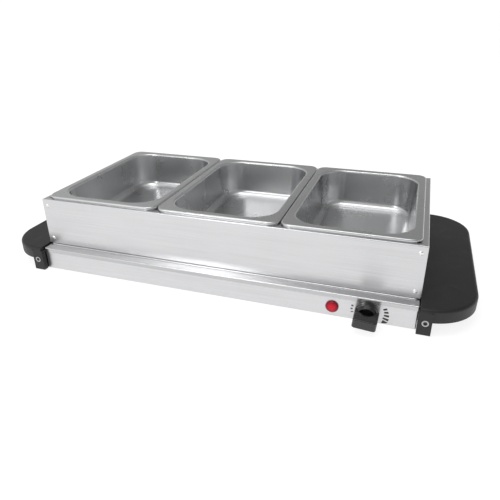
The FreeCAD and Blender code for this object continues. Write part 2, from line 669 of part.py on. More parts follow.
def shaft():
    """The thermostat's D shaft with its cam, and the spring leaf that grips the knob on the flat."""
    face = "-(base_deep / 2 - sheet - slack)"
    rod = cylinder("shaft_rad", "32.5", "dial_at", f"{face} - 17.5", "control_up", "y")
    flat_low, flat_high = "control_up + 1.5", "control_up + 4"
    flat = box("dial_at - 5", "dial_at + 5", f"{face} - 18", f"{face} - 7", flat_low, flat_high)
    cam = cylinder("6", "2", "dial_at", f"{face} + 13", "control_up", "y")
    lug_low, lug_high = "control_up - 1", "control_up + 1"
    lug = box("dial_at + 3", "dial_at + 7.5", f"{face} + 13", f"{face} + 15", lug_low, lug_high)
    node("thermostat_shaft", cut(fuse(rod, cam, lug), flat))
    leaf_low, leaf_high = f"{flat_low} + 0.1", f"{flat_low} + 0.7"
    leaf = box("dial_at - 1.5", "dial_at + 1.5", f"{face} - 17", f"{face} - 8", leaf_low, leaf_high)
    node("knob_spring_leaf", leaf)


def thermostat():
    """Bracket with its threaded bush and nut, the ceramic stack and the contact blades."""
    face = "-(base_deep / 2 - sheet - slack)"
    inside = f"({face} + sheet)"
    left, right, roof = "dial_at - 17", "dial_at + 12", "control_up + 10"
    plate = box(left, right, inside, f"{inside} + 1.2", "control_up - 10", roof)
    arm = box(left, right, f"{inside} + 1", f"{inside} + 9", f"{roof} - 1", roof)
    bush = cylinder("bush_rad", "13", "dial_at", f"{face} - 4.2", "control_up", "y")
    bore = cylinder("shaft_rad + run_gap", "40", "dial_at", f"{face} - 20", "control_up", "y")
    node("thermostat_bracket", cut(fuse(plate, arm, bush), bore))
    nut = hexagon("8.2", "2.4", "dial_at", f"{face} - 2.4", "control_up")
    thread = cylinder("bush_rad + run_gap", "8", "dial_at", f"{face} - 4", "control_up", "y")
    node("thermostat_nut", cut(nut, thread))
    stack_x = "dial_at - 12.5"
    spacers, blades = [], []
    for i, (start, length) in enumerate((("1.2", "15"), ("17", "3"), ("20.8", "3"))):
        spacers.append(cylinder("4.2", length, stack_x, f"{inside} + {start}", "control_up", "y"))
        if i:
            y = f"({inside} + {start})"
            blades.append(box("dial_at - 20", "dial_at + 9", f"{y} - 0.7", f"{y} - 0.1", "control_up - 3.5",
                              "control_up + 3.5"))
    node("thermostat_stack", group(*spacers))
    node("thermostat_blades", group(*blades))


def lamp():
    """The pilot light: a domed red lens, its holder behind the panel, a push nut and the neon bulb."""
    face = "-(base_deep / 2 - sheet - slack)"
    body = new_body("lamp_lens")
    profile = new_sketch(body, "XY")
    polygon(profile, [
        ("0", "-4.2"), ("lamp_rad * 0.5", "-3.8"), ("lamp_rad * 0.82", "-2.7"), ("lamp_rad * 0.9", "-1.7"),
        ("lamp_rad", "-1.4"), ("lamp_rad", "-0.05"), ("lamp_hole - slack", "-0.05"),
        ("lamp_hole - slack", "12"), ("lamp_hole - slack - 1.2", "12"), ("lamp_hole - slack - 1.2", "-1"),
        ("0", "-2"),
    ])
    revolve("Revolution", body, profile)
    place(body, "lamp_at", face, "control_up")
    node("lamp_lens", body)
    washer = cut(cylinder("lamp_rad", "1", "lamp_at", f"{face} + sheet + 0.05", "control_up", "y"),
                 cylinder("lamp_hole - slack + 0.05", "4", "lamp_at", f"{face} - 1", "control_up", "y"))
    node("lamp_push_nut", washer)
    cap = cylinder("lamp_hole - slack", "7", "lamp_at", f"{face} + 12", "control_up", "y")
    pins = [box(f"lamp_at + {x} - 1.6", f"lamp_at + {x} + 1.6", f"{face} + 19", f"{face} + 25",
                "control_up - 0.4", "control_up + 0.4") for x in ("-3", "3")]
    node("lamp_holder", fuse(cap, *pins))
    node("lamp_bulb", cylinder("2.4", "9", "lamp_at", f"{face} + 2.9", "control_up", "y"))


def gland():
    """The bush where a power cord enters the back panel."""
    wall = "(base_deep / 2 - sheet - slack)"
    collar = cylinder("9", "3", "gland_at", f"{wall} + 0.05", "control_up", "y")
    neck = cylinder("gland_hole - slack / 2", "6", "gland_at", f"{wall} - 5.9", "control_up", "y")
    barb = cylinder("gland_hole + 1.2", "2.5", "gland_at", f"{wall} - sheet - 2.7", "control_up", "y")
    nose = cone("7", "5.4", "7", "gland_at", f"{wall} + 3", "control_up", "y")
    bore = cylinder("cord_rad", "30", "gland_at", f"{wall} - 15", "control_up", "y")
    node("cord_gland", cut(fuse(collar, neck, barb, nose), bore))


# ---------------------------------------------------------------- heating and wiring
ROOF = "(base_top + plateau_rise - sheet)"  # underside of the plateau


def element():
    """A sheathed heating rod in four passes under the plateau, with a terminal stud at each end."""
    body = new_body("heating_element")
    level = f"{ROOF} - element_rad - 0.05"
    path = new_sketch(body, "XY", level)
    rows = [f"run_pitch * {k}" for k in (-1.5, -0.5, 0.5, 1.5)]
    turns = ["tail_end", "run_left", "run_right", "run_left", "tail_end"]
    ends = list(zip(turns, turns[1:]))
    lines = []
    for row, (a, b) in zip(rows, ends):
        low, high = (Vector(number(path, t), number(path, row), 0) for t in (a, b))
        lines.append(path.addGeometry(Part.LineSegment(low, high), False))
        pin_point(path, lines[-1], 1, a, row)
        pin_point(path, lines[-1], 2, b, row)
    radius = number(path, "run_pitch / 2")
    for i in range(3):
        bend = path.Geometry[lines[i]].EndPoint
        ring = Part.Circle(bend + Vector(0, radius, 0), Vector(0, 0, 1), radius)
        quarter = math.pi / 2
        span = (-quarter, quarter) if i == 1 else (quarter, 3 * quarter)
        arc = path.addGeometry(Part.ArcOfCircle(ring, *span), False)
        first, last = (1, 2) if i == 1 else (2, 1)
        path.addConstraint(Sketcher.Constraint("Coincident", lines[i], 2, arc, first))
        path.addConstraint(Sketcher.Constraint("Coincident", lines[i + 1], 1, arc, last))
        k = path.addConstraint(Sketcher.Constraint("DistanceX", -1, 1, arc, 3, bend.x))
        path.setExpression(f"Constraints[{k}]", expr(ends[i][1]))
    section = new_sketch(body, "YZ", "tail_end")
    circle(section, rows[0], level, "element_rad")
    doc.recompute()
    pipe = body.newObject("PartDesign::AdditivePipe", "element_pipe")
    pipe.Profile = section
    pipe.Spine = path
    body.Tip = pipe
    doc.recompute()
    node("heating_element", body)
    studs = [cylinder("1.2", "9", "tail_end", row, level, "x") for row in (rows[0], rows[3])]
    node("element_studs", group(*studs))


def element_clips():
    """Spot-welded straps that press the rod against the hot plate."""
    made = []
    level = f"({ROOF} - element_rad - 0.05)"
    for row in ("-run_pitch * 1.5", "-run_pitch * 0.5", "run_pitch * 0.5", "run_pitch * 1.5"):
        for x in ("-170", "0", "170"):
            left, right = f"{x} - 6", f"{x} + 6"
            bridge = box(left, right, f"{row} - 5", f"{row} + 5", f"{level} - 4.2", ROOF)
            room = box(left, right, f"{row} - 4.3", f"{row} + 4.3", f"{level} - 3.4", ROOF)
            wings = [box(left, right, f"{row} + {a}", f"{row} + {b}", f"{ROOF} - 0.7", ROOF)
                     for a, b in (("4.6", "11"), ("-11", "-4.6"))]
            made.append(fuse(cut(bridge, room), *wings))
    node("element_clips", group(*made))


def heat_shield():
    """An aluminised channel under the rod that keeps the heat off the service cover."""
    body = new_body("heat_shield")
    foot, top = "(base_under + sheet + cover_sheet)", "21"
    profile = [("-118", foot), ("-118", top), ("118", top), ("118", foot), ("117.4", foot),
               ("117.4", f"{top} - 0.6"), ("-117.4", f"{top} - 0.6"), ("-117.4", foot)]
    pad(body, polygon(new_sketch(body, "YZ", "-272"), profile), "520")
    fillet(body, "1.5", lambda b, e: b.XLength > 100 and b.ZMin > 21 - 1e-3)
    node("heat_shield", body)


def safety_fuse():
    """The one-shot thermal fuse under the plate, past the end of the rod, with a lead stub at each end."""
    link = cylinder("2", "12", "269.5", "-6", f"{ROOF} - 2.6", "y")
    stubs = [cylinder("0.6", "6", "269.5", y, f"{ROOF} - 2.6", "y") for y in ("-12", "6")]
    node("thermal_fuse", fuse(link, *stubs))


def earth_stud():
    """The earth screw that stands on the service cover, with its nut."""
    foot = "(base_under + sheet + cover_sheet)"
    screw = cylinder("2", "8", "266", "138", foot)
    node("earth_stud", fuse(screw, hexagon("4", "3", "266", "138", f"{foot} + 2", "z")))


def terminal_block():
    """A three-way ceramic block with brass clamp screws on the service cover."""
    foot = "(base_under + sheet + cover_sheet)"
    block = box("222", "252", "128", "146", foot, f"{foot} + 13")
    ways, screws = [], []
    for x in ("228", "237", "246"):
        ways.append(cylinder("2", "30", x, "120", f"{foot} + 5", "y"))
        ways.append(cylinder("2.3", "6", x, "137", f"{foot} + 8", "z"))
        screws.append(cylinder("2.2", "3.6", x, "137", f"{foot} + 8", "z"))
    node("terminal_block", cut(block, *ways))
    node("terminal_screws", group(*screws))


def lead(points, radius):
    """An insulated lead: straight runs joined by tangent arcs, each arc as large as its two runs allow."""
    at = [Vector(*p) for p in points]
    pieces, start = [], at[0]
    for before, here, after in zip(at, at[1:], at[2:]):
        into, out = (here - before), (after - here)
        trim = 0.45 * min(into.Length, out.Length)
        into.normalize()
        out.normalize()
        bend_in, bend_out = here - into * trim, here + out * trim
        turn = into.getAngle(out)
        bend = trim / math.tan(turn / 2)
        sideways = (out - into).normalize()
        centre = here + sideways * (bend / math.cos(turn / 2))
        middle = centre + (here - centre).normalize() * bend
        pieces += [Part.LineSegment(start, bend_in).toShape(), Part.Arc(bend_in, middle, bend_out).toShape()]
        start = bend_out
    pieces.append(Part.LineSegment(start, at[-1]).toShape())
    spine = Part.Wire(pieces)
    ring = Part.Wire(Part.makeCircle(radius, at[0], at[1] - at[0]))
    return spine.makePipeShell([ring], True, True)


def wiring():
    """Leads between the terminal block, fuse, thermostat, rod, lamp and earth stud."""
    plate = NODES["hot_plate"]
    face = -number(plate, "base_deep / 2 - sheet - slack")
    roof = number(plate, ROOF)
    foot = number(plate, "base_under + sheet + cover_sheet")
    dial_x, lamp_x, up = DRIVING["dial_at"], DRIVING["lamp_at"], DRIVING["control_up"]
    stud_x, stud_z = DRIVING["tail_end"] + 9.2, roof - DRIVING["element_rad"] - 0.05
    pass_y = DRIVING["run_pitch"] * 1.5
    near, far = face + 18.2, face + 21.8
    routes = [
        # terminal block to fuse
        [(228, 133, foot + 5), (228.3, 122.5, foot + 5.4), (261, 121.5, 11.5), (269, 92, 17), (269.5, 40, 31),
         (269.5, 12.2, roof - 2.6)],
        # fuse to thermostat
        [(269.5, -12.2, roof - 2.6), (269.5, -40, 31), (270, -92, 19), (262, -126, 16), (244, -138, 17),
         (dial_x + 9.4, near, up)],
        # thermostat to the front stud of the rod
        [(dial_x + 9.4, far, up + 2), (240, -128.5, 22), (259, -124, 27), (273, -113, 33),
         (stud_x + 7, -pass_y, stud_z), (stud_x, -pass_y, stud_z)],
        # terminal block to the back stud of the rod
        [(237, 133, foot + 5), (237.2, 126, foot + 5.8), (258, 125, 19), (273, 117, 31),
         (stud_x + 7, pass_y, stud_z), (stud_x, pass_y, stud_z)],
        # lamp to thermostat
        [(lamp_x + 3, face + 25.6, up), (lamp_x + 5, -123.5, 17.5), (186, -121.5, 19), (194, -127, 18),
         (dial_x - 21.4, far - 1.3, up + 1)],
        # lamp to the back stud of the rod, along the end
        [(lamp_x - 3, face + 25.6, up), (lamp_x - 2, -122.5, 12), (192, -120.5, 7.5), (240, -121.5, 6.5),
         (263, -116, 6), (274, -90, 6), (275, -30, 6), (275, 40, 6), (275, 80, 11), (271, 98, 27),
         (stud_x + 1.8, pass_y - 3.3, stud_z - 0.5)],
        # terminal block to the earth stud
        [(246, 133, foot + 5), (246.3, 125.6, foot + 5.6), (258, 126, 7.5), (264.2, 132.4, foot + 4.6)],
    ]
    leads = doc.addObject("Part::Feature", "leads")
    leads.Shape = Part.makeCompound([lead(route, 1.2) for route in routes])
    node("wiring", leads)


# ---------------------------------------------------------------- build
top_plate()
base_shell()
bottom_cover()
cover_screws()
for side_name, side_sign in (("left_handle", "-"), ("right_handle", "+")):
    handle(side_name, side_sign)
    handle_fixings(side_name, side_sign)
foot_pads()
for panel_name, panel_sign in (("frame_front_panel", "-"), ("frame_back_panel", "")):
    frame_long_panel(panel_name, panel_sign)
for panel_name, panel_sign in (("frame_left_panel", "-"), ("frame_right_panel", "")):
    frame_end_panel(panel_name, panel_sign)
frame_rivets()
for bar_name, bar_x in (("left_crossbar", "-pan_pitch / 2"), ("right_crossbar", "pan_pitch / 2")):
    crossbar(bar_name, bar_x)
for pan_name, pan_x in (("left_pan", "-pan_pitch"), ("middle_pan", "0"), ("right_pan", "pan_pitch")):
    pan(pan_name, pan_x)
dial()
shaft()
thermostat()
lamp()
gland()
element()
element_clips()
heat_shield()
safety_fuse()
earth_stud()
terminal_block()
wiring()
doc.recompute()

# ---------------------------------------------------------------- check and write
for obj in doc.Objects:
    if {"Invalid", "Error"} & set(obj.State):
        raise RuntimeError(f"{obj.Name} ({obj.Label}) did not build: {obj.State}")
os.makedirs("parts", exist_ok=True)
for name, obj in NODES.items():
    shape = obj.Shape
    if shape.isNull() or not shape.isValid() or not shape.Solids:
        raise RuntimeError(f"{name} has no valid solid")
    shape.exportStep(f"parts/{name}.step")
    box_size = shape.BoundBox
    print(f"{name:22s} {len(shape.Solids):3d} solids {shape.Volume / 1000:9.2f} cm3  "
          f"{box_size.XLength:7.1f} {box_size.YLength:7.1f} {box_size.ZLength:7.1f}")
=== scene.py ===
"""Looks for the electric buffet server: materials, printed scale, floor, light and camera.

Metres, in the CAD model's frame: +Z up, +X along the length, the control panel faces -Y.
"""

import math

import bmesh
import bpy
from mathutils import Matrix, Vector


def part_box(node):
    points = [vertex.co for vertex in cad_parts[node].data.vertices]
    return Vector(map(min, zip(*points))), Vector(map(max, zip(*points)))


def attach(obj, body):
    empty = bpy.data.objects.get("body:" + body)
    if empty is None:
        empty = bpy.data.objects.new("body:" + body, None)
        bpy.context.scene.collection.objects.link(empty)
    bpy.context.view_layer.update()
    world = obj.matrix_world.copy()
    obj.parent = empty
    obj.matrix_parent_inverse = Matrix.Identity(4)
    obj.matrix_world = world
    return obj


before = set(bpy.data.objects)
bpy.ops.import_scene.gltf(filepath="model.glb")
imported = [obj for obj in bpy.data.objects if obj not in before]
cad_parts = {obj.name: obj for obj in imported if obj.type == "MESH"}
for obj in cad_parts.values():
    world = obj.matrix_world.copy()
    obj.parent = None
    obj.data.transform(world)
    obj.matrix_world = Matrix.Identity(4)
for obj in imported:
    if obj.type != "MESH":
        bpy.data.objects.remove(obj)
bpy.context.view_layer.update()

MM = 0.001
BLACK = (0.0, 0.0, 0.0)
WHITE = (1.0, 1.0, 1.0)
NOISE_RANGE = (0.3, 0.7)  # nearly all of a noise texture's values lie between these


# ---------------------------------------------------------------- node helpers
class Nodes:
    """A node tree, with one call for each kind of node."""

    def __init__(self, tree):
        self.tree = tree

    def add(self, kind, **settings):
        made = self.tree.nodes.new(kind)
        for name, value in settings.items():
            setattr(made, name, value)
        return made

    def feed(self, socket, value):
        """Link an input to another node's output, or set its value. A colour is given as RGB."""
        if isinstance(value, bpy.types.NodeSocket):
            self.tree.links.new(value, socket)
        elif socket.type == "RGBA":
            socket.default_value = (*value, 1.0)
        else:
            socket.default_value = value

    def put(self, node, **inputs):
        """Feed a node's inputs by name."""
        for name, value in inputs.items():
            self.feed(node.inputs[name.replace("_", " ")], value)

    def split(self, vector):
        """A vector's parts, under "X", "Y" and "Z"."""
        made = self.add("ShaderNodeSeparateXYZ")
        self.feed(made.inputs[0], vector)
        return made.outputs

    def math(self, operation, a, b=0.0):
        made = self.add("ShaderNodeMath", operation=operation)
        self.feed(made.inputs[0], a)
        self.feed(made.inputs[1], b)
        return made.outputs[0]

    def times(self, first, *others):
        """The product of some values."""
        for other in others:
            first = self.math("MULTIPLY", first, other)
        return first

    def ramp(self, value, low, high, to_low=0.0, to_high=1.0, curve="LINEAR"):
        """Carry a value from low..high over to to_low..to_high, held at the ends."""
        made = self.add("ShaderNodeMapRange", interpolation_type=curve)
        for socket, part in zip(made.inputs, (value, low, high, to_low, to_high)):
            self.feed(socket, part)
        return made.outputs[0]


class Shader(Nodes):
    """A material's nodes, around one Principled surface."""

    def __init__(self, name):
        self.material = bpy.data.materials.new(name)
        self.material.use_nodes = True
        super().__init__(self.material.node_tree)
        self.tree.nodes.clear()
        self.surface = self.add("ShaderNodeBsdfPrincipled")
        output = self.add("ShaderNodeOutputMaterial")
        self.feed(output.inputs["Surface"], self.surface.outputs[0])
        self.coordinates = self.add("ShaderNodeTexCoord").outputs
        self.place = self.coordinates["Object"]

    def noise(self, cells, detail, roughness, distortion=0.0):
        """Cloudy noise. cells is how many go to a metre, one number or one for each axis."""
        mapping = self.add("ShaderNodeMapping")
        self.put(mapping, Vector=self.place, Scale=cells if isinstance(cells, tuple) else (cells,) * 3)
        made = self.add("ShaderNodeTexNoise")
        self.put(made, Vector=mapping.outputs[0], Scale=1.0, Detail=detail, Roughness=roughness,
                 Distortion=distortion)
        return made.outputs["Fac"]

    def pebbles(self, cells, feature="F1", **inputs):
        """A mosaic of rounded cells, so many to a metre."""
        made = self.add("ShaderNodeTexVoronoi", feature=feature)
        self.put(made, Vector=self.place, Scale=cells, **inputs)
        return made.outputs

    def vary(self, noise, low, high):
        """A noise carried over to low..high."""
        return self.ramp(noise, *NOISE_RANGE, low, high)

    def mix(self, factor, first, second):
        """Blend two colours, from the first at 0 to the second at 1."""
        made = self.add("ShaderNodeMix", data_type="RGBA")
        for index, value in ((0, factor), (6, first), (7, second)):
            self.feed(made.inputs[index], value)
        return made.outputs[2]

    def shade(self, tint, *factors):
        """A tint darkened by the product of some factors, and never made lighter."""
        return self.mix(self.times(*factors), BLACK, tint)

    def bump(self, height, strength, distance, under=None):
        made = self.add("ShaderNodeBump")
        self.put(made, Height=height, Strength=strength, Distance=distance)
        if under is not None:
            self.put(made, Normal=under)
        return made.outputs[0]

    def from_axis(self, centre):
        """Distance from a line along Y through centre, or from that line mirrored to -x."""
        place = self.split(self.place)
        across = self.math("SUBTRACT", self.math("ABSOLUTE", place["X"]), centre.x)
        up = self.math("SUBTRACT", place["Z"], centre.z)
        squares = self.math("ADD", self.math("POWER", across, 2.0), self.math("POWER", up, 2.0))
        return self.math("SQRT", squares)

    def facing(self, axis):
        """How far the surface looks along an axis, 0 to 1."""
        return self.math("ABSOLUTE", self.split(self.coordinates["Normal"])[axis])


def drawn_out(axis, along, across):
    """Three numbers: one along the axis, and another on the two axes across it."""
    return tuple(along if letter == axis else across for letter in "XYZ")


def dimmed(tint, factor):
    return tuple(part * factor for part in tint)


# ---------------------------------------------------------------- metals
def brushed(name, tint, grain, rough, upright_painted_shade=1.0):
    """Brushed sheet: long scratches along the grain, soft stains and a few handling marks.

    grain is the scratches' main axis, faces that look along it are scratched along the other
    level axis, and the last argument, when below 1, darkens the colour of what stands upright: painted shade.
    """
    m = Shader(name)
    other = "Y" if grain == "X" else "X"
    long_way, short_way = 7.0, 1400.0
    scratch = m.noise(drawn_out(grain, long_way, short_way), detail=3.0, roughness=0.65)
    crossed = m.noise(drawn_out(other, long_way, short_way), detail=3.0, roughness=0.65)
    turned = m.ramp(m.facing(grain), 0.6, 0.8)
    straight = m.math("SUBTRACT", 1.0, turned)
    fine = m.math("ADD", m.times(scratch, straight), m.times(crossed, turned))
    bands = m.noise(drawn_out(grain, 3.0, 260.0), detail=2.0, roughness=0.5)
    stain = m.noise(9.0, detail=4.0, roughness=0.6, distortion=0.4)
    scuff = m.noise(42.0, detail=6.0, roughness=0.72, distortion=1.2)
    marks_and_painted_shade = [m.ramp(fine, 0.25, 0.75, 0.90, 1.05), m.vary(bands, 0.985, 1.015),
              m.ramp(stain, 0.3, 0.75, 0.97, 1.02)]
    # Painted shade: upright faces get a darker colour than level ones.
    if upright_painted_shade != 1.0:
        marks_and_painted_shade.append(m.ramp(m.facing("Z"), 0.05, 0.5, upright_painted_shade, 1.0))
    roughness = m.math("ADD", m.ramp(fine, 0.25, 0.75, rough + 0.07, rough - 0.05),
                       m.ramp(scuff, 0.55, 0.75, 0.0, 0.035))
    scratched = m.bump(fine, 0.22, 0.06 * MM)
    tangent = m.add("ShaderNodeCombineXYZ")
    for socket, part in zip(tangent.inputs, drawn_out(grain, 0.0, 0.7)):
        m.feed(socket, part)
    m.put(m.surface, Base_Color=m.shade(tint, *marks_and_painted_shade), Metallic=1.0, Roughness=roughness,
          Normal=m.bump(stain, 0.05, 4.0 * MM, scratched), Anisotropic=0.55, Tangent=tangent.outputs[0])
    return m.material


def satin_steel(name, tint, rough):
    """Drawn and polished sheet: fine grain in no one direction, drawing lines down the walls, water marks."""
    m = Shader(name)
    fine = m.noise(900.0, detail=4.0, roughness=0.7)
    lines = m.noise((420.0, 420.0, 14.0), detail=3.0, roughness=0.6)
    marks = m.noise(11.0, detail=2.0, roughness=0.5)
    spots = m.noise(120.0, detail=2.0, roughness=0.5)
    colour = m.shade(tint, m.vary(fine, 0.98, 1.01), m.vary(marks, 0.97, 1.01), m.vary(lines, 0.97, 1.02))
    roughness = m.math("ADD", m.ramp(marks, 0.35, 0.7, rough - 0.02, rough + 0.04),
                       m.ramp(spots, 0.4, 0.8, 0.0, 0.01))
    grain = m.bump(fine, 0.03, 0.04 * MM)
    m.put(m.surface, Base_Color=colour, Metallic=1.0, Roughness=roughness,
          Normal=m.bump(lines, 0.03, 0.04 * MM, grain))
    return m.material


def plated(name, tint, rough, spangle=180.0):
    """Zinc plating, bright fasteners and other small metal parts: soft spangle and dull patches."""
    m = Shader(name)
    grey = m.add("ShaderNodeSeparateColor")
    m.put(grey, Color=m.pebbles(spangle)["Color"])
    fine = m.noise(1500.0, detail=3.0, roughness=0.6)
    dull = m.noise(60.0, detail=4.0, roughness=0.6)
    colour = m.shade(tint, m.ramp(grey.outputs[0], 0.0, 1.0, 0.9, 1.04), m.vary(dull, 0.88, 1.03))
    m.put(m.surface, Base_Color=colour, Metallic=1.0, Roughness=m.vary(dull, rough - 0.06, rough + 0.1),
          Normal=m.bump(fine, 0.15, 0.05 * MM))
    return m.material


def socket_screw(name, tint, centre):
    """A dull screw head, its socket painted nearly black and less metallic as shade."""
    m = Shader(name)
    socket_radius, rim_radius = 2.3 * MM, 3.0 * MM
    fine = m.noise(1200.0, detail=3.0, roughness=0.6)
    dull = m.noise(160.0, detail=4.0, roughness=0.6)
    # Painted shade: inside the socket radius the colour drops to nearly black and the metal is made partly
    # non-metallic.
    bright = m.ramp(m.from_axis(centre), socket_radius, rim_radius)
    colour = m.shade(tint, m.vary(dull, 0.8, 1.05), m.ramp(bright, 0.0, 1.0, 0.06, 1.0))
    m.put(m.surface, Base_Color=colour, Metallic=m.ramp(bright, 0.0, 1.0, 0.3, 1.0),
          Roughness=m.vary(dull, 0.32, 0.5), Normal=m.bump(fine, 0.15, 0.05 * MM))
    return m.material


def oxidised_sheath(name):
    """The heating rod's sheath: dark, with straw and blue heat bands."""
    m = Shader(name)
    straw, blue = (0.16, 0.12, 0.09), (0.10, 0.11, 0.14)
    heat = m.noise(11.0, detail=3.0, roughness=0.6)
    fine = m.noise(700.0, detail=4.0, roughness=0.7)
    m.put(m.surface, Base_Color=m.mix(m.ramp(heat, 0.4, 0.6), straw, blue), Metallic=0.8,
          Roughness=m.vary(fine, 0.45, 0.62), Normal=m.bump(fine, 0.3, 0.1 * MM))
    return m.material


# ---------------------------------------------------------------- plastics, rubber, ceramic, glass, ink
def moulded(name, tint, rough, grain, grain_depth, wear=0.25, coat=0.0, coat_rough=0.25):
    """Moulded plastic: fine spark-eroded grain, slight clouding and paler rubbed patches."""
    m = Shader(name)
    pebble = m.pebbles(grain, "SMOOTH_F1", Smoothness=0.6)["Distance"]
    fine = m.noise(grain * 1.7, detail=3.0, roughness=0.65)
    cloud = m.noise(14.0, detail=4.0, roughness=0.6, distortion=0.3)
    rub = m.noise(33.0, detail=6.0, roughness=0.7, distortion=0.8)
    paler = tuple(part * 1.9 + 0.006 for part in tint)
    clouded = m.mix(m.vary(cloud, 0.0, 1.0), dimmed(tint, 0.78), tint)
    colour = m.mix(m.ramp(rub, 0.52, 0.8, 0.0, wear), clouded, paler)
    relief = m.math("ADD", pebble, m.times(fine, 0.6))
    roughness = m.math("ADD", m.vary(cloud, rough - 0.03, rough + 0.04), m.ramp(rub, 0.5, 0.8, 0.0, -0.08))
    m.put(m.surface, Base_Color=colour, Roughness=roughness, Normal=m.bump(relief, 0.35, grain_depth),
          Coat_Weight=coat, Coat_Roughness=coat_rough)
    return m.material


def lens_red(name, centre, radius):
    """Clear red plastic with moulded prisms inside: deep red at the rim, and light from behind painted into
    the middle as a paler red, which also glows a little.
    """
    m = Shader(name)
    prisms = m.pebbles(520.0)["Distance"]
    cloud = m.noise(90.0, detail=3.0, roughness=0.6)
    inward = m.ramp(m.from_axis(centre), 0.35 * radius, 0.92 * radius, 1.0, 0.0)
    painted_and_emitted_glow = m.times(inward, m.ramp(prisms, 0.1, 0.6, 1.0, 0.72))
    # Painted light: the middle's colour is paler, as if lit from behind, and the same mask drives a faint
    # emission.
    m.put(m.surface, Base_Color=m.mix(painted_and_emitted_glow, (0.11, 0.0, 0.006), (0.42, 0.001, 0.014)),
          Roughness=m.vary(cloud, 0.22, 0.32), IOR=1.36, Normal=m.bump(prisms, 0.10, 0.3 * MM),
          Emission_Color=m.mix(painted_and_emitted_glow, (0.20, 0.0, 0.012), (1.0, 0.0, 0.035)), Emission_Strength=0.30)
    return m.material


def rubber(name, tint):
    """Matt rubber with a greyish bloom."""
    m = Shader(name)
    grain = m.noise(1300.0, detail=4.0, roughness=0.7)
    bloom = m.noise(50.0, detail=4.0, roughness=0.6)
    m.put(m.surface, Base_Color=m.mix(m.ramp(bloom, 0.4, 0.8, 0.0, 0.35), tint, (0.09, 0.09, 0.09)),
          Roughness=m.vary(bloom, 0.68, 0.82), Normal=m.bump(grain, 0.3, 0.15 * MM))
    return m.material


def fired(name, tint):
    """Ceramic, or a heat-proof moulding that looks like it: matt, finely rough, warm in patches."""
    m = Shader(name)
    speck = m.noise(800.0, detail=3.0, roughness=0.7)
    warm = m.noise(70.0, detail=4.0, roughness=0.6)
    m.put(m.surface, Base_Color=m.mix(m.vary(warm, 0.0, 1.0), dimmed(tint, 0.86), tint),
          Roughness=m.vary(speck, 0.55, 0.75), Normal=m.bump(speck, 0.4, 0.1 * MM))
    return m.material


def sleeve(name, tint):
    """Woven glass sleeve over the leads."""
    m = Shader(name)
    weave = m.add("ShaderNodeTexWave", wave_type="BANDS", bands_direction="DIAGONAL")
    m.put(weave, Vector=m.place, Scale=420.0, Distortion=2.0, Detail=2.0)
    soil = m.noise(80.0, detail=4.0, roughness=0.6)
    m.put(m.surface, Base_Color=m.mix(m.vary(soil, 0.0, 1.0), dimmed(tint, 0.82), tint),
          Roughness=m.vary(soil, 0.6, 0.8), Normal=m.bump(weave.outputs["Fac"], 0.4, 0.2 * MM))
    return m.material


def clear_glass(name):
    """The glass of the lamp bulb, with a faint warm cast and drawn streaks."""
    m = Shader(name)
    streak = m.noise((200.0, 30.0, 200.0), detail=2.0, roughness=0.5)
    m.put(m.surface, Base_Color=(1.0, 0.93, 0.88), Roughness=m.vary(streak, 0.02, 0.08),
          Transmission_Weight=0.9, IOR=1.47)
    return m.material


def ink(name):
    """Black screen-printed ink, a little uneven."""
    m = Shader(name)
    cover = m.noise(600.0, detail=3.0, roughness=0.6)
    m.put(m.surface, Base_Color=m.mix(m.ramp(cover, 0.3, 0.8), (0.012, 0.012, 0.013), (0.035, 0.035, 0.036)),
          Roughness=m.vary(cover, 0.4, 0.6), Normal=m.bump(cover, 0.2, 0.02 * MM))
    return m.material


# ---------------------------------------------------------------- which node wears what
def middle(node):
    """The middle of a CAD node's box."""
    low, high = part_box(node)
    return (low + high) / 2


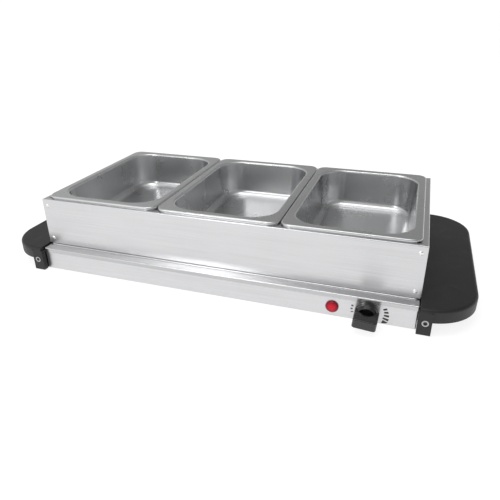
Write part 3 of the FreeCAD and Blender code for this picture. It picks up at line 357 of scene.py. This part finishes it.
def dress():
    """Give every CAD node its material."""
    lens_low, lens_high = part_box("lamp_lens")
    lens_radius = (lens_high.x - lens_low.x) / 2
    steel = (0.66, 0.66, 0.67)
    looks = {
        # The hot plate's upright lip and edges are painted darker, as shade.
        brushed("hot_plate_steel", steel, "X", 0.24, upright_painted_shade=0.80): ["hot_plate"],
        brushed("shell_steel", steel, "X", 0.30): ["base_shell"],
        brushed("frame_steel_long", steel, "X", 0.30): ["frame_front_panel", "frame_back_panel"],
        brushed("frame_steel_end", steel, "Y", 0.30): ["frame_left_panel", "frame_right_panel"],
        brushed("crossbar_steel", steel, "Y", 0.30): ["left_crossbar", "right_crossbar"],
        satin_steel("pan_steel_satin", (0.60, 0.605, 0.61), 0.27): ["left_pan", "middle_pan", "right_pan"],
        moulded("handle_black", (0.0075, 0.0075, 0.0083), rough=0.50, grain=1500.0, grain_depth=0.12 * MM): [
            "left_handle", "right_handle"],
        moulded("knob_black", (0.0028, 0.0028, 0.0032), rough=0.26, grain=2200.0, grain_depth=0.03 * MM,
                wear=0.10, coat=0.55, coat_rough=0.10): ["thermostat_knob"],
        socket_screw("handle_screw", (0.50, 0.50, 0.51), middle("right_handle_screws")): [
            "left_handle_screws", "right_handle_screws"],
        lens_red("lamp_red", middle("lamp_lens"), lens_radius): ["lamp_lens"],
        plated("rivet_white", (0.92, 0.92, 0.92), 0.32, spangle=900.0): ["frame_rivets"],
        plated("bright_fastener", (0.78, 0.78, 0.78), 0.26, spangle=600.0): [
            "cover_screws", "left_handle_rivets", "right_handle_rivets", "earth_stud", "thermostat_shaft"],
        plated("zinc_plate", (0.62, 0.63, 0.62), 0.42): [
            "bottom_cover", "left_handle_bracket", "right_handle_bracket", "lamp_push_nut",
            "thermostat_bracket", "thermostat_nut", "element_clips", "knob_spring_leaf"],
        plated("aluminised_sheet", (0.70, 0.70, 0.70), 0.45, spangle=90.0): ["heat_shield"],
        plated("brass", (0.80, 0.60, 0.28), 0.3, spangle=500.0): [
            "terminal_screws", "thermostat_blades", "element_studs"],
        plated("tinned", (0.72, 0.66, 0.55), 0.35, spangle=400.0): ["thermal_fuse"],
        oxidised_sheath("rod_sheath"): ["heating_element"],
        rubber("black_rubber", (0.028, 0.028, 0.029)): ["foot_pads", "cord_gland"],
        fired("white_ceramic", (0.80, 0.77, 0.71)): ["terminal_block", "thermostat_stack"],
        fired("cream_plastic", (0.72, 0.68, 0.58)): ["lamp_holder"],
        clear_glass("bulb_glass"): ["lamp_bulb"],
        sleeve("glass_sleeve", (0.78, 0.76, 0.70)): ["wiring"],
    }
    for material, names in looks.items():
        for name in names:
            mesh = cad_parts[name].data
            mesh.materials.clear()
            mesh.materials.append(material)


# ---------------------------------------------------------------- printed scale
def scale_marks():
    """The thermostat's printed scale: three ticks on the low side, then bars that grow into a wedge."""
    centre = middle("thermostat_knob") + Vector((2.0, 0.0, 0.3)) * MM
    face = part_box("base_shell")[0].y
    marks = [  # angle in degrees anticlockwise from 3 o'clock, inner and outer radius in mm, half angle
        (165.0, 20.6, 23.4, 3.0), (177.5, 20.6, 23.2, 3.0), (190.0, 19.6, 23.0, 1.9),
        (20.0, 19.4, 24.4, 3.5), (7.8, 19.8, 25.2, 3.6), (-4.6, 19.8, 26.2, 3.6), (-17.2, 19.6, 27.2, 3.6),
    ]
    bm = bmesh.new()
    for angle, inner, outer, half in marks:
        start, end = angle - half, angle + half
        print_patch(bm, centre, face, [(inner, start), (outer, start), (outer, end), (inner, end)])
    steps = 10
    edges = [wedge_edge(i / steps) for i in range(steps + 1)]
    for (inner, outer), (next_inner, next_outer) in zip(edges, edges[1:]):
        print_patch(bm, centre, face, [next_inner, next_outer, outer, inner])
    bmesh.ops.recalc_face_normals(bm, faces=bm.faces)
    piece = new_mesh_object("thermostat_scale", bm, ink("scale_ink"))
    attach(piece, "base")


def wedge_edge(part):
    """The wedge's inner and outer corner, as radius and angle, from its wide end at 0 to its tip at 1."""
    wide_end, tip = -24.5, -39.0
    angle = wide_end + (tip - wide_end) * part
    return (20.8 + part, angle), (27.8 - 6.4 * part ** 1.6, angle)


def print_patch(bm, centre, face, corners):
    """A thin closed patch of ink on the panel, from (radius in mm, angle in degrees) corners."""
    thick = 0.04 * MM
    rings = []
    for y in (face - thick, face + thick):
        ring = []
        for radius, angle in corners:
            turn = math.radians(angle)
            x = centre.x + radius * MM * math.cos(turn)
            z = centre.z + radius * MM * math.sin(turn)
            ring.append(bm.verts.new((x, y, z)))
        rings.append(ring)
    front, back = rings
    bm.faces.new(front)
    bm.faces.new(back[::-1])
    for i in range(len(corners)):
        j = (i + 1) % len(corners)
        bm.faces.new((front[j], front[i], back[i], back[j]))


# ---------------------------------------------------------------- objects in the scene
def new_object(name, data):
    made = bpy.data.objects.new(name, data)
    bpy.context.scene.collection.objects.link(made)
    return made


def new_mesh_object(name, bm, material):
    mesh = bpy.data.meshes.new(name)
    bm.to_mesh(mesh)
    bm.free()
    mesh.materials.append(material)
    return new_object(name, mesh)


# ---------------------------------------------------------------- stage, light, camera
def floor():
    """A wide, flat, pale floor of matt paper that glows a little, so that it stays white."""
    m = Shader("floor_paper")
    grain = m.noise(300.0, detail=3.0, roughness=0.6)
    m.put(m.surface, Base_Color=m.mix(grain, (0.30, 0.30, 0.30), (0.33, 0.33, 0.33)), Roughness=0.9,
          Specular_IOR_Level=0.0, Emission_Color=WHITE, Emission_Strength=0.84)
    bm = bmesh.new()
    bmesh.ops.create_grid(bm, x_segments=8, y_segments=8, size=60.0)
    plane = new_mesh_object("floor", bm, m.material)


def softbox(name, place, target, size, power):
    """A rectangular soft light aimed at a point."""
    light = bpy.data.lights.new(name, "AREA")
    light.shape = "RECTANGLE"
    light.size, light.size_y = size
    light.energy = power
    lamp = new_object(name, light)
    lamp.location = place
    lamp.rotation_mode = "QUATERNION"
    lamp.rotation_quaternion = (Vector(target) - Vector(place)).to_track_quat("-Z", "Y")


def sky():
    """Surroundings that are white low down and overhead, grey between, and lighter to the front left."""
    world = bpy.data.worlds.new("studio")
    bpy.context.scene.world = world
    world.use_nodes = True
    nodes = Nodes(world.node_tree)
    direction = nodes.split(nodes.add("ShaderNodeTexCoord").outputs["Generated"])

    def step(axis, low, high, to_low, to_high):
        """A smooth change of brightness along one axis of the sky."""
        return nodes.ramp(direction[axis], low, high, to_low, to_high, "SMOOTHSTEP")

    front_left = nodes.times(step("Y", -0.5, 0.3, 0.50, 0.0), step("X", -0.25, 0.05, 1.0, 0.1))
    walls = nodes.math("ADD", front_left, step("X", -0.75, -0.15, 0.58, 0.34))
    ceiling = step("Z", 0.82, 0.97, 0.0, 1.0)
    horizon = step("Z", 0.03, 0.28, 1.02, 0.0)
    brightness = nodes.math("MAXIMUM", nodes.math("MAXIMUM", walls, ceiling), horizon)
    nodes.put(world.node_tree.nodes["Background"], Color=WHITE, Strength=brightness)


def studio():
    """The sky, and two soft lights."""
    sky()
    softbox("overhead", place=(-0.2, -0.5, 2.0), target=(0.0, 0.0, 0.05), size=(1.4, 0.7), power=8.0)
    softbox("front_left", place=(-0.88, -2.10, 1.19), target=(-0.06, -0.15, 0.04), size=(0.5, 0.7), power=7.0)
    bpy.context.scene.view_settings.view_transform = "Standard"


def camera():
    """A 36 mm lens in front, above and to the right, looking down at the pans and a little to the left."""
    place = (0.2495, -0.7204, 0.3745)
    azimuth, elevation, roll = (math.radians(angle) for angle in (18.65, 26.13, -0.51))
    right = Vector((math.cos(azimuth), math.sin(azimuth), 0.0))
    ahead = Vector((-math.sin(azimuth) * math.cos(elevation), math.cos(azimuth) * math.cos(elevation),
                    -math.sin(elevation)))
    up = right.cross(ahead)
    turn = Matrix((right, up, -ahead)).transposed().to_4x4()
    data = bpy.data.cameras.new("camera")
    data.lens = 35.74
    data.sensor_width = 36.0
    eye = new_object("camera", data)
    eye.matrix_world = Matrix.Translation(place) @ turn @ Matrix.Rotation(roll, 4, "Z")
    bpy.context.scene.camera = eye


camera()
dress()
scale_marks()
floor()
studio()
